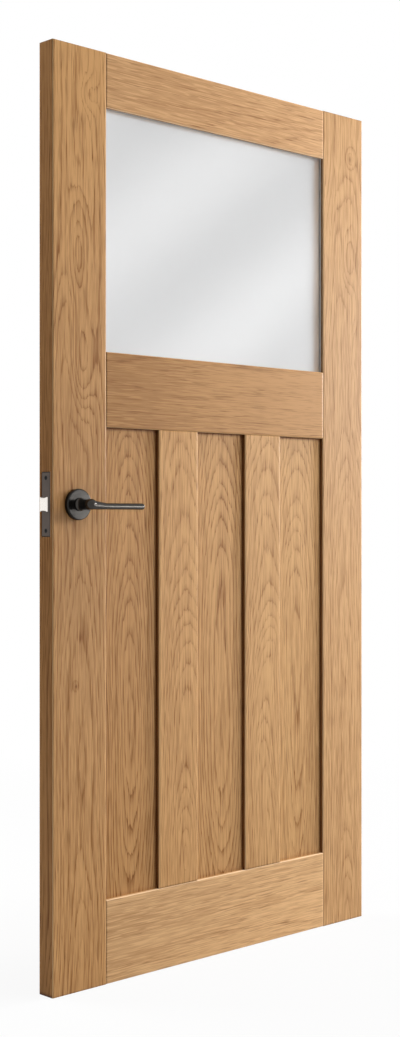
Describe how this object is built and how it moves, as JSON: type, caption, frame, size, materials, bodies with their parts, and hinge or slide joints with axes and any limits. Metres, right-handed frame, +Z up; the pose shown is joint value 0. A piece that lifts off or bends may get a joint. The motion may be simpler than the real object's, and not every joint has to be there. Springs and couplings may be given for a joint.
{
  "type": "panelled door leaf",
  "caption": "Oak door leaf with a glazed top light over flat recessed panels, a dark lever handle on a round rose, a sprung mortice latch and butt hinges.",
  "frame": {"origin": "middle of the leaf's bottom edge, at half its width and half its thickness", "axes": "+Z up the leaf, +X along its width towards the hinge edge, +Y through its thickness away from the front face"},
  "size_m": [1.0037, 0.16, 1.985],
  "materials": {
    "oak": "satin lacquer",
    "satin_glass": "satin",
    "glazing_tape": "matt",
    "setting_block": "matt",
    "black_metal": "satin",
    "hinge_metal": "satin",
    "bright_bolt": "satin",
    "plated_steel": "plated"
  },
  "bodies": {
    "hinge_frame_leaves": {"top_hinge_frame_leaf": "hinge_metal", "top_hinge_pin": "hinge_metal", "middle_hinge_frame_leaf": "hinge_metal", "middle_hinge_pin": "hinge_metal", "bottom_hinge_frame_leaf": "hinge_metal", "bottom_hinge_pin": "hinge_metal"},
    "leaf": {"latch_stile": "oak", "hinge_stile": "oak", "top_rail": "oak", "mid_rail": "oak", "bottom_rail": "oak", "latch_side_muntin": "oak", "hinge_side_muntin": "oak", "latch_side_panel": "oak", "centre_panel": "oak", "hinge_side_panel": "oak", "top_bead": "oak", "bottom_bead": "oak", "latch_side_bead": "oak", "hinge_side_bead": "oak", "glass_pane": "satin_glass", "front_glazing_tape": "glazing_tape", "rear_glazing_tape": "glazing_tape", "setting_blocks": "setting_block", "front_rose": "black_metal", "rear_rose": "black_metal", "latch_forend": "black_metal", "forend_screws": "black_metal", "top_hinge_door_leaf": "hinge_metal", "middle_hinge_door_leaf": "hinge_metal", "bottom_hinge_door_leaf": "hinge_metal", "hinge_screws": "hinge_metal", "front_rose_plate": "plated_steel", "rear_rose_plate": "plated_steel", "rose_bolts": "plated_steel", "latch_case": "plated_steel", "latch_case_cover": "plated_steel", "case_screws": "plated_steel", "latch_spring": "plated_steel", "follower_spring": "plated_steel", "bead_pins": "plated_steel"},
    "lever_set": {"front_lever": "black_metal", "rear_lever": "black_metal", "spindle": "plated_steel", "lever_circlips": "plated_steel", "lever_grub_screws": "black_metal", "latch_follower": "plated_steel"},
    "latch_bolt": {"latch_bolt": "bright_bolt"}
  },
  "joints": [
    {"name": "door_swing", "type": "hinge", "parent": "hinge_frame_leaves", "child": "leaf", "pos_m": [0.49375, 0.0295, 1.0325], "axis": [0, 0, -1], "range_deg": [0, 170]},
    {"name": "lever_turn", "type": "hinge", "parent": "leaf", "child": "lever_set", "pos_m": [-0.4275, 0, 1.022], "axis": [0, 1, 0], "range_deg": [0, 45], "stiffness_Nm_per_rad": 1, "springref_deg": -34.38, "deforming": ["follower_spring"]},
    {"name": "latch_slide", "type": "slide", "parent": "leaf", "child": "latch_bolt", "axis": [1, 0, 0], "range_m": [0, 0.011], "deforming": ["latch_spring"]}
  ],
  "couplings": [
    {"joint": "latch_slide", "follows": "lever_turn", "m_per_rad": 0.014}
  ]
}
